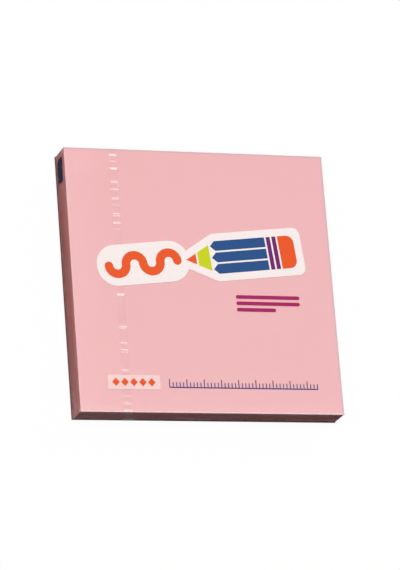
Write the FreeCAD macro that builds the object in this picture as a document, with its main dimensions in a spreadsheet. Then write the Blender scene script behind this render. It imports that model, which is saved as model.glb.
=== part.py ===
import FreeCAD, Part
import Sketcher
import os

# A pad of sticky notes in its clear overwrap, lying on its back.
# Millimetres. +X runs along the bottom edge of the printed face, +Y towards its top edge, +Z up.
# The origin is under the middle of the pad, at the lowest face of the film.

V = FreeCAD.Vector
doc = FreeCAD.newDocument("sticky_note_pad")
sheet = doc.addObject("Spreadsheet::Sheet", "sizes")

# Driving dimensions: alias, value, what it measures. Angles are in degrees.
SIZES = [
    ("note_width", 76, "one note, left to right"),
    ("note_depth", 76, "one note, bottom edge to top edge"),
    ("note_caliper", 0.08, "thickness of one note"),
    ("note_count", 100, "notes in the pad"),
    ("backing_caliper", 0.1, "release paper under the last note"),
    ("film_caliper", 0.04, "overwrap film"),
    ("film_slack", 0.1, "room at each edge of the notes, and the inner radius of the film's bends"),
    ("flap_setback", 1.9, "from the free edge of an end flap to the bend it stops short of"),
    ("lap_width", 6, "seam where the film laps itself on the near side"),
    ("lap_rise", 1.7, "back of the pad up to the seam's free edge"),
    ("tab_width", 4.2, "tongue that starts the tear, left to right"),
    ("tab_offset", 2.2, "middle of the tape to the middle of the tongue, to the right"),
    ("tab_reach", 1.2, "how far the tongue stands out past the seam's free edge"),
    ("tab_round", 0.6, "radius of the tongue's corners"),
    ("tape_width", 2.35, "tear tape"),
    ("tape_caliper", 0.04, "tear tape"),
    ("tape_inset", 13.75, "left edge of the notes to the middle of the tape"),
    ("tape_skew", 0.6, "turn of the tape about the vertical, clockwise"),
    ("mark_length", 6.9, "registration mark, along the left end"),
    ("mark_height", 4.1, "registration mark, across the left end"),
    ("mark_inset", 1.85, "top edge of the notes to the mark"),
    ("mark_drop", 1.95, "printed face down to the mark"),
    ("mark_round", 1.2, "radius of the mark's lower corners"),
    ("mark_skew", 4, "turn of the mark about the left end's normal"),
    ("ink_caliper", 0.02, "one layer of ink"),
    ("motif_x", -4.7, "pencil's point, right of the middle"),
    ("motif_y", 6, "pencil's point, above the middle"),
    ("motif_tilt", 6, "turn of the pencil, anticlockwise"),
    ("ground_margin", 2.2, "white ground round the motif"),
    ("pencil_girth", 9.6, "pencil, across"),
    ("lead_length", 3, "point of the pencil"),
    ("cone_length", 9, "sharpened end, with the point"),
    ("cut_depth", 1.4, "how far each facet's cut reaches into the cone"),
    ("shaft_length", 15, "painted facets"),
    ("band_length", 1.2, "one band of the ferrule"),
    ("colour_gap", 0.5, "ground that shows between two colours"),
    ("eraser_length", 4.6, "rounded end"),
    ("eraser_round", 2.2, "radius of the eraser's corners"),
    ("wave_radius", 2.5, "middle line of one half wave"),
    ("wave_stroke", 2.5, "width of the drawn line"),
    ("wave_gap", 1.4, "pencil's point to the drawn line"),
    ("wave_halves", 4, "half waves in the drawn line"),
    ("bar_length", 18.7, "upper two bars"),
    ("bar_short", 11.5, "lowest bar"),
    ("bar_height", 1.05, "one bar"),
    ("bar_pitch", 1.85, "bar to bar"),
    ("bar_inset", 10.3, "right edge of the notes to the bars"),
    ("bar_drop", 3.9, "middle of the notes down to the first bar"),
    ("label_length", 15, "pale label"),
    ("label_height", 4.1, "pale label"),
    ("label_inset", 8.1, "left edge of the notes to the label"),
    ("label_rise", 6.4, "bottom edge of the notes to the label"),
    ("label_round", 0.3, "radius of the label's corners"),
    ("diamond_length", 2.2, "one diamond on the label"),
    ("diamond_height", 2.4, "one diamond on the label"),
    ("diamond_pitch", 2.55, "diamond to diamond"),
    ("diamond_count", 5, "diamonds on the label"),
    ("scale_line", 0.3, "base line of the printed scale"),
    ("tick_width", 0.25, "one tick of the scale"),
    ("tick_height", 1.3, "one tick, without the base line"),
    ("tick_tall", 2.2, "every fifth tick, without the base line"),
    ("tick_pitch", 1, "tick to tick"),
    ("scale_gap", 2.5, "least room between the label and the first tick"),
    ("scale_inset", 7.2, "right edge of the notes to the last tick"),
    ("scale_rise", 7, "bottom edge of the notes to the base line"),
]
for row, (alias, value, meaning) in enumerate(SIZES, 1):
    sheet.set(f"A{row}", meaning)
    sheet.set(f"B{row}", str(value))
    sheet.setAlias(f"B{row}", alias)
doc.recompute()

# Heights, from the film under the pad to the ink at the top.
FILM_FLOOR = "sizes.film_caliper"
BACKING_FLOOR = f"{FILM_FLOOR} + sizes.tape_caliper"
NOTES_FLOOR = f"{BACKING_FLOOR} + sizes.backing_caliper"
NOTES_THICK = "sizes.note_count * sizes.note_caliper"
FILM_CEILING = f"{NOTES_FLOOR} + {NOTES_THICK} + sizes.tape_caliper"
FILM_TOP = f"{FILM_CEILING} + sizes.film_caliper"
SECOND_INK = f"{FILM_TOP} + sizes.ink_caliper"

# The film's inside, its bends' outer radius, its outside and the tape's place.
FILM_ROOM = f"({FILM_CEILING} - {FILM_FLOOR})"
FILM_INNER_X = "(sizes.note_width + 2 * sizes.film_slack)"
FILM_INNER_Y = "(sizes.note_depth + 2 * sizes.film_slack)"
FILM_BEND = "(sizes.film_slack + sizes.film_caliper)"
FILM_END = f"({FILM_INNER_X} / 2 + sizes.film_caliper)"
FILM_SIDE = f"({FILM_INNER_Y} / 2 + sizes.film_caliper)"
TAPE_MIDDLE = "(sizes.tape_inset - sizes.note_width / 2)"

# The ferrule starts and ends with a gap, and has two bands.
FERRULE_LENGTH = "(2 * sizes.band_length + 3 * sizes.colour_gap)"
PENCIL_LENGTH = f"(sizes.cone_length + sizes.shaft_length + {FERRULE_LENGTH} + sizes.eraser_length)"


def value(expression):
    return float(sheet.evalExpression(expression))


def bind(thing, **bindings):
    for name, expression in bindings.items():
        thing.setExpression(name, expression)


def place(thing, x="0", y="0", z="0", turn=None, about=(0, 0, 1)):
    """Binds a placement: where the thing's own origin goes, and its turn about an axis."""
    if turn is not None:
        thing.Placement = FreeCAD.Placement(V(0, 0, 0), FreeCAD.Rotation(V(*about), 1))
        thing.setExpression("Placement.Rotation.Angle", turn)
    for axis, expression in zip("xyz", (x, y, z)):
        thing.setExpression(f"Placement.Base.{axis}", expression)
    return thing


def new_body(label):
    body = doc.addObject("PartDesign::Body", label)
    body.AllowCompound = True
    return body


def origin_feature(body, role):
    return [feature for feature in body.Origin.OriginFeatures if feature.Role == role][0]


def round_edges(body, feature, radius, wanted):
    """Rounds those edges of a feature for which wanted(edge) holds."""
    doc.recompute()
    edges = [f"Edge{i}" for i, edge in enumerate(feature.Shape.Edges, 1) if wanted(edge)]
    fillet = body.newObject("PartDesign::Fillet", f"{body.Name}_rounding")
    fillet.Base = (feature, edges)
    bind(fillet, Radius=radius)
    body.Tip = fillet
    return fillet


def block(label, length, width, height, x="0", y="0", z="0", turn=None, about=(0, 0, 1),
          radius=None, wanted=lambda edge: True):
    """A block centred on its own origin in X and Y and standing on it."""
    body = new_body(label)
    box = body.newObject("PartDesign::AdditiveBox", f"{label}_box")
    bind(box, Length=length, Width=width, Height=height)
    place(box, f"-({length}) / 2", f"-({width}) / 2")
    if radius is not None:
        round_edges(body, box, radius, wanted)
    return place(body, x, y, z, turn, about)


def new_sketch(label, body=None):
    if body is None:
        return doc.addObject("Sketcher::SketchObject", label)
    sketch = body.newObject("Sketcher::SketchObject", label)
    sketch.AttachmentSupport = [(origin_feature(body, "XY_Plane"), "")]
    sketch.MapMode = "FlatFace"
    return sketch


def draw_outline(sketch, corners):
    """Draws a closed outline through corners, each a pair of expressions, and ties it to them."""
    spots = [V(value(x), value(y), 0) for x, y in corners]
    first = sketch.GeometryCount
    for start, end in zip(spots, spots[1:] + spots[:1]):
        sketch.addGeometry(Part.LineSegment(start, end), False)
    for i, (x, y) in enumerate(corners):
        line = first + i
        following = first + (i + 1) % len(corners)
        sketch.addConstraint(Sketcher.Constraint("Coincident", line, 2, following, 1))
        for kind, expression in (("DistanceX", x), ("DistanceY", y)):
            number = sketch.addConstraint(Sketcher.Constraint(kind, -1, 1, line, 1, value(expression)))
            name = f"{kind}_{line}"
            sketch.renameConstraint(number, name)
            sketch.setExpression(f"Constraints.{name}", expression)


def oblong(left, bottom, length, height):
    """Corners of a rectangle, as expressions."""
    right = f"({left}) + ({length})"
    top = f"({bottom}) + ({height})"
    return [(left, bottom), (right, bottom), (right, top), (left, top)]


def ink(label, outlines, radius=None, wanted=lambda edge: True):
    """One layer of ink inside closed outlines, lying on its own origin's plane."""
    body = new_body(label)
    sketch = new_sketch(f"{label}_outline", body)
    for corners in outlines:
        draw_outline(sketch, corners)
    doc.recompute()
    layer = body.newObject("PartDesign::Pad", f"{label}_layer")
    layer.Profile = sketch
    bind(layer, Length="sizes.ink_caliper")
    if radius is not None:
        round_edges(body, layer, radius, lambda edge: stands_up(edge) and wanted(edge))
    return body


def stands_up(edge):
    return len(edge.Vertexes) == 2 and abs(edge.tangentAt(edge.FirstParameter).z) > 0.99


def repeat(body, feature, pitch, count):
    """Repeats a feature along X, pitch apart."""
    pattern = body.newObject("PartDesign::LinearPattern", f"{feature.Name}_row")
    pattern.Originals = [feature]
    pattern.Direction = (origin_feature(body, "X_Axis"), [""])
    bind(pattern, Occurrences=count, Length=f"({pitch}) * (({count}) - 1)")
    body.Tip = pattern
    doc.recompute()
    return pattern


def fused(label, pieces):
    fusion = doc.addObject("Part::MultiFuse", label)
    fusion.Shapes = pieces
    fusion.Refine = True
    return fusion


def cut(label, base, tool):
    result = doc.addObject("Part::Cut", label)
    result.Base = base
    result.Tool = tool
    return result


# Paper

def make_note_block():
    """All the notes. Each is stuck to the next along one edge, so they hold together as one block."""
    return block("note_block", "sizes.note_width", "sizes.note_depth", NOTES_THICK, z=NOTES_FLOOR)


def make_backing_sheet():
    """The release paper that covers the last note's adhesive."""
    return block("backing_sheet", "sizes.note_width", "sizes.note_depth", "sizes.backing_caliper",
                 z=BACKING_FLOOR)


# Film and tear tape

def make_film_room():
    """The space inside the film, which the film and the tape are both cut to."""
    return block("film_room", FILM_INNER_X, FILM_INNER_Y, FILM_ROOM, z=FILM_FLOOR,
                 radius="sizes.film_slack")


def make_end_flaps(side):
    """The lower and the upper flap of one end, side -1 for the left and 1 for the right.

    Each is a trapezoid with mitred ends. The upper flap folds down last, over the lower one."""
    foot = FILM_BEND
    head = f"({FILM_TOP} - {FILM_BEND})"
    reach = f"({head} - {foot} - sizes.flap_setback)"
    half = f"({FILM_SIDE} - {FILM_BEND})"
    flaps = []
    for name, layers, root, turn in (("lower", 1, foot, 90), ("upper", 2, head, -90)):
        flap = doc.addObject("Part::Wedge", f"{name}_flap_{'left' if side < 0 else 'right'}")
        thick = f"{layers} * sizes.film_caliper"
        bind(flap, Xmin="0", X2min="0", Xmax=thick, X2max=thick, Ymin="0", Ymax=reach,
             Zmin=f"-{half}", Zmax=half, Z2min=f"{reach} - {half}", Z2max=f"{half} - {reach}")
        flap.Placement = FreeCAD.Placement(V(0, 0, 0), FreeCAD.Rotation(V(1, 0, 0), turn))
        place(flap, FILM_END if side > 0 else f"-{FILM_END} - {thick}", z=root)
        flaps.append(flap)
    return flaps


def make_lap_seam():
    """The film's outer end, lapped on the near side, and the tongue on its free edge that starts the tear."""
    outside = f"-{FILM_SIDE} - sizes.film_caliper / 2"
    seam = block("lap_seam", f"2 * ({FILM_END} - {FILM_BEND})", "sizes.film_caliper", "sizes.lap_width",
                 y=outside, z="sizes.lap_rise")
    middle = f"{TAPE_MIDDLE} - {FILM_SIDE} * tan(sizes.tape_skew) + sizes.tab_offset"
    tongue = block("tear_tongue", "sizes.tab_width", "sizes.film_caliper",
                   "sizes.tab_reach + sizes.lap_width / 2", x=middle, y=outside,
                   z="sizes.lap_rise - sizes.tab_reach", radius="sizes.tab_round",
                   wanted=lambda edge: edge.BoundBox.ZMax < 0.01 and edge.BoundBox.XLength < 0.01)
    return [seam, tongue]


def make_film_wrap(room):
    """One sheet of film: a closed skin of even thickness, with its folded and sealed layers on it."""
    skin = block("film_outside", f"2 * {FILM_END}", f"2 * {FILM_SIDE}", FILM_TOP, radius=FILM_BEND)
    hollow = cut("film_skin", skin, room)
    return fused("film_wrap", [hollow] + make_end_flaps(-1) + make_end_flaps(1) + make_lap_seam())


def make_tear_tape(room):
    """A band on the inside of the film, all the way round the girth."""
    inside = block("tape_inside", f"{FILM_INNER_X} - 2 * sizes.tape_caliper",
                   f"{FILM_INNER_Y} - 2 * sizes.tape_caliper", f"{FILM_ROOM} - 2 * sizes.tape_caliper",
                   z=BACKING_FLOOR, radius="sizes.film_slack - sizes.tape_caliper")
    lining = cut("tape_lining", room, inside)
    slice_through = block("tape_slice", "sizes.tape_width", f"{FILM_INNER_Y} + sizes.tape_width",
                          FILM_ROOM, x=TAPE_MIDDLE, z=FILM_FLOOR, turn="-sizes.tape_skew")
    tape = doc.addObject("Part::MultiCommon", "tear_tape")
    tape.Shapes = [lining, slice_through]
    return tape


# Ink

def make_eye_mark(film_wrap):
    """The registration mark, on the left end. It follows the steps of the folded film under it."""
    thick = "(2 * sizes.film_caliper + sizes.ink_caliper)"
    slab = block("eye_slab", thick, "sizes.mark_length", "sizes.mark_height",
                 x=f"-{FILM_END} - {thick} / 2",
                 y="sizes.note_depth / 2 - sizes.mark_inset - sizes.mark_length / 2",
                 z=f"{FILM_TOP} - sizes.mark_drop - sizes.mark_height",
                 turn="sizes.mark_skew", about=(1, 0, 0), radius="sizes.mark_round",
                 wanted=lambda edge: edge.BoundBox.ZMax < 0.01 and edge.BoundBox.YLength < 0.01)
    return cut("eye_mark", slab, film_wrap)


def on_motif(thing, layer):
    """Puts a piece drawn from the pencil's point, along the pencil, in its place on the face."""
    return place(thing, "sizes.motif_x", "sizes.motif_y", layer, turn="sizes.motif_tilt")


def make_motif_ground():
    """White ink under the pencil and its line, a margin wider all round."""
    silhouette = new_sketch("pencil_silhouette")
    half = "sizes.pencil_girth / 2"
    draw_outline(silhouette, [("0", "0"), ("sizes.cone_length", f"-{half}"), (PENCIL_LENGTH, f"-{half}"),
                              (PENCIL_LENGTH, half), ("sizes.cone_length", half)])
    doc.recompute()
    margin = doc.addObject("Part::Offset2D", "pencil_margin")
    margin.Source = silhouette
    bind(margin, Value="sizes.ground_margin")
    pencil = doc.addObject("Part::Extrusion", "pencil_ground")
    pencil.Base = margin
    pencil.DirMode = "Custom"
    pencil.Dir = V(0, 0, 1)
    pencil.Solid = True
    bind(pencil, LengthFwd="sizes.ink_caliper")
    half_wave = "(sizes.wave_radius + sizes.wave_stroke / 2 + sizes.ground_margin)"
    run = "(2 * sizes.wave_radius * sizes.wave_halves + sizes.wave_stroke + 2 * sizes.ground_margin)"
    wave = ink("wave_ground", [oblong(f"sizes.ground_margin - sizes.wave_gap - {run}", f"-{half_wave}",
                                      run, f"2 * {half_wave}")], radius=f"0.95 * {half_wave}")
    return on_motif(fused("motif_ground", [pencil, wave]), FILM_TOP)


def make_motif_wave():
    """The line the pencil has drawn: half rings, turned up and down by turns, with round ends."""
    pieces = []
    for i in range(round(value("sizes.wave_halves"))):
        outer, inner = (doc.addObject("Part::Cylinder", f"wave_{name}_{i}") for name in ("outer", "inner"))
        bind(outer, Radius="sizes.wave_radius + sizes.wave_stroke / 2", Height="sizes.ink_caliper")
        bind(inner, Radius="sizes.wave_radius - sizes.wave_stroke / 2", Height="sizes.ink_caliper")
        half_ring = cut(f"wave_half_{i}", outer, inner)
        for cylinder in (outer, inner):
            cylinder.Angle = 180
        turn = "180" if i % 2 else "0"
        middle = f"-(sizes.wave_gap + sizes.wave_stroke / 2 + {2 * i + 1} * sizes.wave_radius)"
        pieces.append(place(half_ring, middle, turn=turn))
    for name, halves in (("near", "0"), ("far", "sizes.wave_halves")):
        cap = doc.addObject("Part::Cylinder", f"wave_cap_{name}")
        bind(cap, Radius="sizes.wave_stroke / 2", Height="sizes.ink_caliper")
        middle = f"-(sizes.wave_gap + sizes.wave_stroke / 2 + 2 * {halves} * sizes.wave_radius)"
        pieces.append(place(cap, middle))
    return on_motif(fused("motif_wave", pieces), SECOND_INK)


def half_girth(along):
    """Half the pencil's width at a place on its cone, as an expression."""
    return f"(({along}) / sizes.cone_length * sizes.pencil_girth / 2)"


def make_motif_lead():
    half = half_girth("sizes.lead_length")
    corners = [("0", "0"), ("sizes.lead_length", f"-{half}"), ("sizes.lead_length", half)]
    return on_motif(ink("motif_lead", [corners]), SECOND_INK)


def make_motif_cone():
    start = "sizes.lead_length + sizes.colour_gap"
    end = "sizes.cone_length - sizes.cut_depth - sizes.colour_gap"
    corners = [(start, f"-{half_girth(start)}"), (end, f"-{half_girth(end)}"),
               (end, half_girth(end)), (start, half_girth(start))]
    return on_motif(ink("motif_cone", [corners]), SECOND_INK)


def make_motif_shaft():
    """Three painted facets, each ending in a point where the sharpener cut it."""
    facet = "((sizes.pencil_girth - 2 * sizes.colour_gap) / 3)"
    outlines = []
    for i in range(3):
        bottom = f"({i} * ({facet} + sizes.colour_gap) - sizes.pencil_girth / 2)"
        end = "sizes.cone_length + sizes.shaft_length"
        outlines.append([("sizes.cone_length", bottom), (end, bottom), (end, f"{bottom} + {facet}"),
                         ("sizes.cone_length", f"{bottom} + {facet}"),
                         ("sizes.cone_length - sizes.cut_depth", f"{bottom} + {facet} / 2")])
    return on_motif(ink("motif_shaft", outlines), SECOND_INK)


def make_motif_ferrule():
    outlines = []
    for i in range(2):
        start = "sizes.cone_length + sizes.shaft_length"
        left = f"{start} + {i} * sizes.band_length + {i + 1} * sizes.colour_gap"
        outlines.append(oblong(left, "-sizes.pencil_girth / 2", "sizes.band_length", "sizes.pencil_girth"))
    return on_motif(ink("motif_ferrule", outlines), SECOND_INK)


def make_motif_eraser():
    left = f"{PENCIL_LENGTH} - sizes.eraser_length"
    corners = oblong(left, "-sizes.pencil_girth / 2", "sizes.eraser_length", "sizes.pencil_girth")
    far = value(PENCIL_LENGTH)
    return on_motif(ink("motif_eraser", [corners], radius="sizes.eraser_round",
                        wanted=lambda edge: abs(edge.BoundBox.XMax - far) < 0.01), SECOND_INK)


def make_note_bars():
    """Three bars, as long as lines of writing, ending in line on the left."""
    left = "sizes.note_width / 2 - sizes.bar_inset - sizes.bar_length"
    outlines = []
    for i, length in enumerate(("sizes.bar_length", "sizes.bar_length", "sizes.bar_short")):
        bottom = f"-(sizes.bar_drop + {i} * sizes.bar_pitch + sizes.bar_height)"
        outlines.append(oblong(left, bottom, length, "sizes.bar_height"))
    return place(ink("note_bars", outlines, radius="0.45 * sizes.bar_height"), z=FILM_TOP)


LABEL_LEFT = "(sizes.label_inset - sizes.note_width / 2)"
LABEL_BOTTOM = "(sizes.label_rise - sizes.note_depth / 2)"


def make_label_ground():
    label = oblong(LABEL_LEFT, LABEL_BOTTOM, "sizes.label_length", "sizes.label_height")
    return place(ink("label_ground", [label], radius="sizes.label_round"), z=FILM_TOP)


def make_label_marks():
    """A row of diamonds in the middle of the label."""
    half_length = "sizes.diamond_length / 2"
    half_height = "sizes.diamond_height / 2"
    row = ink("label_marks", [[(f"-{half_length}", "0"), ("0", f"-{half_height}"),
                               (half_length, "0"), ("0", half_height)]])
    repeat(row, row.Tip, "sizes.diamond_pitch", "sizes.diamond_count")
    middle = f"{LABEL_LEFT} + sizes.label_length / 2"
    return place(row, f"{middle} - (sizes.diamond_count - 1) * sizes.diamond_pitch / 2",
                 f"{LABEL_BOTTOM} + sizes.label_height / 2", SECOND_INK)


def make_printed_scale():
    """A printed rule: a base line with a tick every pitch and a tall one at every fifth.

    It has as many ticks as there is room for between the label and its own inset."""
    label_right = "(sizes.label_inset + sizes.label_length)"
    free_width = f"(sizes.note_width - {label_right} - sizes.scale_gap - sizes.scale_inset)"
    steps = f"floor({free_width} / sizes.tick_pitch)"
    run = f"({steps} * sizes.tick_pitch)"
    body = ink("printed_scale", [oblong("-sizes.tick_width / 2", "0", f"{run} + sizes.tick_width",
                                        "sizes.scale_line")])
    for name, height, pitch, count in (
        ("tick", "sizes.tick_height", "sizes.tick_pitch", f"{steps} + 1"),
        ("tall_tick", "sizes.tick_tall", "5 * sizes.tick_pitch", f"floor({steps} / 5) + 1"),
    ):
        tick = body.newObject("PartDesign::AdditiveBox", name)
        bind(tick, Length="sizes.tick_width", Width=f"sizes.scale_line + {height}",
             Height="sizes.ink_caliper")
        place(tick, "-sizes.tick_width / 2")
        doc.recompute()
        repeat(body, tick, pitch, count)
    return place(body, f"sizes.note_width / 2 - sizes.scale_inset - {run}",
                 "sizes.scale_rise - sizes.note_depth / 2", FILM_TOP)


room = make_film_room()
film_wrap = make_film_wrap(room)
subparts = [
    make_note_block(),
    make_backing_sheet(),
    film_wrap,
    make_tear_tape(room),
    make_eye_mark(film_wrap),
    make_motif_ground(),
    make_motif_wave(),
    make_motif_lead(),
    make_motif_cone(),
    make_motif_shaft(),
    make_motif_ferrule(),
    make_motif_eraser(),
    make_note_bars(),
    make_label_ground(),
    make_label_marks(),
    make_printed_scale(),
]
doc.recompute()

for thing in doc.Objects:
    if {"Invalid", "Error"} & set(thing.State):
        raise RuntimeError(f"{thing.Label} failed: {thing.State}")
for subpart in subparts:
    if subpart.Shape.isNull() or not subpart.Shape.isValid() or not subpart.Shape.Solids:
        raise RuntimeError(f"{subpart.Label} has no valid solid")

os.makedirs("parts", exist_ok=True)
for subpart in subparts:
    subpart.Shape.exportStep(f"parts/{subpart.Label}.step")
    box = subpart.Shape.BoundBox
    print(f"{subpart.Label}: {len(subpart.Shape.Solids)} solid(s), {subpart.Shape.Volume:.3f} mm3,"
          f" x {box.XMin:.2f}..{box.XMax:.2f}, y {box.YMin:.2f}..{box.YMax:.2f},"
          f" z {box.ZMin:.3f}..{box.ZMax:.3f}")
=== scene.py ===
# %% [markdown]
# # A pad of sticky notes in its clear film
#
# A block of a hundred pink notes lies on its back, wrapped in one thin sheet of clear film that is
# printed on the face and folded like an envelope at both ends. The CAD model gives the sizes and places.
# This scene keeps the flat printed shapes as they are and gives the paper and the film the detail that
# a maker would look for: single sheets, folds, puckers and the shine of plastic.

# %% Load the frame
import math

import bmesh
import bpy
import numpy as np
from mathutils import Matrix, Vector, noise


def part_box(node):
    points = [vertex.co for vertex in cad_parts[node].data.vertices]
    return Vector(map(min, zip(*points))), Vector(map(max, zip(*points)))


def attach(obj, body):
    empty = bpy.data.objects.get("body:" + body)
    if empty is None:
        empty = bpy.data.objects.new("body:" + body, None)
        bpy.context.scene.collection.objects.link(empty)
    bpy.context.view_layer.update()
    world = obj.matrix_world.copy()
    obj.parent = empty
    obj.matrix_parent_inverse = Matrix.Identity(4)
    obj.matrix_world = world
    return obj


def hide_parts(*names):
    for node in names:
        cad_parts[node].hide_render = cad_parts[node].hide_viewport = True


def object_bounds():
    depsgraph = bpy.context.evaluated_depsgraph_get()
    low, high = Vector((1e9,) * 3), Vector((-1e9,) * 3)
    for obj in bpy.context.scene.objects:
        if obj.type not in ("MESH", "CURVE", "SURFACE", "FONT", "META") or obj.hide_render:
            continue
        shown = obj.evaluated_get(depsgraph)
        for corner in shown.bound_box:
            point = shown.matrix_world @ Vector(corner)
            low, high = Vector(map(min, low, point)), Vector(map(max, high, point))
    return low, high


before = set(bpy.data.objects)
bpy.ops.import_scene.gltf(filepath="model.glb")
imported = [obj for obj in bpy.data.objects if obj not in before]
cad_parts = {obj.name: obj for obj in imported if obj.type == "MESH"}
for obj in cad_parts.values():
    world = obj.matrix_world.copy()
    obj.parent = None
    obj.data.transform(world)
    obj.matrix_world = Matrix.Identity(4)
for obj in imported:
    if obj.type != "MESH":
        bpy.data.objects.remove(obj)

cad_low, cad_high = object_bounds()
MM = 0.001
print("CAD box in mm:", [round(value / MM, 2) for value in (*cad_low, *cad_high)])

# %% [markdown]
# ## The camera
#
# The picture looks down on the face from the left and the near side, through a long lens. The three
# directions of a camera are enough to place it: where it stands, where it looks and what it calls up.

# %% Place the camera
CAMERA_PLACE = Vector((-0.29201, -0.27953, 0.85040))
CAMERA_LOOKS = Vector((0.31151, 0.29816, -0.90225)).normalized()
CAMERA_UP = Vector((-0.02373, 0.95164, 0.30629)).normalized()
FOCAL_LENGTH = 212.91
SENSOR = 36.0

camera_data = bpy.data.cameras.new("camera")
camera_data.lens = FOCAL_LENGTH
camera_data.sensor_width = SENSOR
camera_data.clip_start = 0.01
camera_data.clip_end = 20
camera = bpy.data.objects.new("camera", camera_data)
bpy.context.scene.collection.objects.link(camera)
camera_right = CAMERA_LOOKS.cross(CAMERA_UP).normalized()
camera_up = camera_right.cross(CAMERA_LOOKS)
turn = Matrix((camera_right, camera_up, -CAMERA_LOOKS)).transposed()
camera.matrix_world = Matrix.Translation(CAMERA_PLACE) @ turn.to_4x4()
bpy.context.scene.camera = camera
bpy.context.scene.view_settings.view_transform = "Standard"
print("The camera stands", round(CAMERA_PLACE.length, 3), "m from the pad")

# %% [markdown]
# ## Writing node trees as sums
#
# Materials and Geometry Nodes are both trees of nodes. Linking them by hand takes many lines, so one
# small class wraps a socket. Python's own signs then add Math nodes, and one method adds any other node.

# %% Wrap a socket
class Wire:
    """One output of a node tree, which sums and products can be written with."""

    def __init__(self, tree, socket=None):
        self.tree = tree
        self.socket = socket

    def node(self, kind, settings=None, inputs=None, output=0):
        """Adds a node: its settings first, then the values or links of its sockets."""
        made = self.tree.nodes.new(kind)
        for name, value in (settings or {}).items():
            setattr(made, name, value)
        for name, value in (inputs or {}).items():
            if isinstance(value, Wire):
                self.tree.links.new(value.socket, made.inputs[name])
            else:
                made.inputs[name].default_value = value
        return Wire(self.tree, made.outputs[output] if made.outputs else None)

    def sign(self, operation, first, second=0.0):
        return self.node("ShaderNodeMath", {"operation": operation}, {0: first, 1: second})

    def __add__(self, other):
        return self.sign("ADD", self, other)

    def __radd__(self, other):
        return self.sign("ADD", other, self)

    def __sub__(self, other):
        return self.sign("SUBTRACT", self, other)

    def __rsub__(self, other):
        return self.sign("SUBTRACT", other, self)

    def __mul__(self, other):
        return self.sign("MULTIPLY", self, other)

    def __rmul__(self, other):
        return self.sign("MULTIPLY", other, self)

    def __truediv__(self, other):
        return self.sign("DIVIDE", self, other)

    def __gt__(self, other):
        return self.sign("GREATER_THAN", self, other)

    def __lt__(self, other):
        return self.sign("LESS_THAN", self, other)

    def __abs__(self):
        return self.sign("ABSOLUTE", self)


# %% [markdown]
# ## Colours and the helpers that every material uses
#
# Swatches are read as red, green and blue from 0 to 255, but shaders count light, so a swatch is
# straightened first. Patterns read Object coordinates: they are metres on the pad, and stay put in
# every view.

# %% Helpers for materials
def swatch(red, green, blue):
    """A swatch's numbers from 0 to 255 as the light that a shader counts."""
    parts = [value / 255 for value in (red, green, blue)]
    light = [p / 12.92 if p <= 0.04045 else ((p + 0.055) / 1.055) ** 2.4 for p in parts]
    return (*light, 1.0)


def new_material(name):
    """An empty material and a wire to start its tree from."""
    made = bpy.data.materials.new(name)
    made.use_nodes = True
    made.node_tree.nodes.clear()
    return made, Wire(made.node_tree)


def finish_surface(start, shader):
    """Ends a material's tree with its shader."""
    start.node("ShaderNodeOutputMaterial", inputs={"Surface": shader})


def place_on_pad(start):
    """The Object coordinates, in metres."""
    return start.node("ShaderNodeTexCoord", output="Object")


def stretched_noise(start, scale, stretch=(1, 1, 1), detail=2.0):
    """Noise with spots 1 / scale metres across, squeezed along the axes by stretch."""
    mapped = start.node("ShaderNodeMapping", inputs={"Vector": place_on_pad(start), "Scale": stretch})
    return start.node("ShaderNodeTexNoise", inputs={"Vector": mapped, "Scale": scale, "Detail": detail})


def blend_colours(start, factor, first, second):
    """Mixes two colours by a factor, which is held between 0 and 1."""
    settings = {"data_type": "RGBA", "clamp_factor": True}
    return start.node("ShaderNodeMix", settings, {0: factor, 6: first, 7: second}, output=2)


def bumped(start, height, depth):
    """The normals of a surface whose height changes by up to depth metres."""
    return start.node("ShaderNodeBump", inputs={"Height": height, "Distance": depth, "Strength": 1.0})


# %% [markdown]
# ## Light and floor
#
# Soft light from above leaves the face at its written colour and the cut edges of the paper in shade,
# as in the picture. The world and the floor are pale for what the camera sees, by itself or in the
# film's shine, and dimmer and a little cooler for the light that they send on, so the edges keep their
# shade. The lamp at the left is warm, which gives the left end the warm brown of the picture.

# %% Hang the lamps
def hang_lamp(name, place, width, share, colour=(1, 1, 1)):
    """A square lamp that looks at the pad and lights a surface turned to it by share of full white."""
    lamp = bpy.data.lights.new(name, "AREA")
    lamp.shape = "SQUARE"
    lamp.size = width
    lamp.color = colour
    distance = Vector(place).length
    lamp.energy = share * math.pi ** 2 * distance ** 2
    hung = bpy.data.objects.new(name, lamp)
    bpy.context.scene.collection.objects.link(hung)
    hung.location = place
    hung.rotation_euler = (-Vector(place)).to_track_quat("-Z", "Y").to_euler()
    print(name, "gives", round(lamp.energy, 2), "W from", round(distance, 2), "m")


hang_lamp("lamp_above", (-0.05, 0.20, 1.40), 0.45, 0.71)
hang_lamp("lamp_left", (-1.10, 0.10, 0.75), 0.55, 0.172, colour=(1.0, 0.54, 0.33))
hang_lamp("lamp_back_right", (0.95, 0.95, 0.80), 0.60, 0.20)

# %% [markdown]
# The floor has a painted shadow: a dark patch under the pad. The patch reaches a tenth of a millimetre
# past the left and right ends, because the picture shows a thin dark line at the foot of the left end.

# %% Colour the world and lay the floor
FLOOR_WIDTH = 6.0
WORLD_LIGHT = (0.104, 0.106, 0.117, 1)
FLOOR_SENDS_ON = (0.131, 0.133, 0.147, 1)
FLOOR_OWN_LIGHT = 0.97
PAINTED_SHADOW_UNDER_PAD = (0.25, 0.06, 0.06, 1)
SHADE_REACH_X, SHADE_REACH_Y = 0.12 * MM, -0.07 * MM


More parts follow.
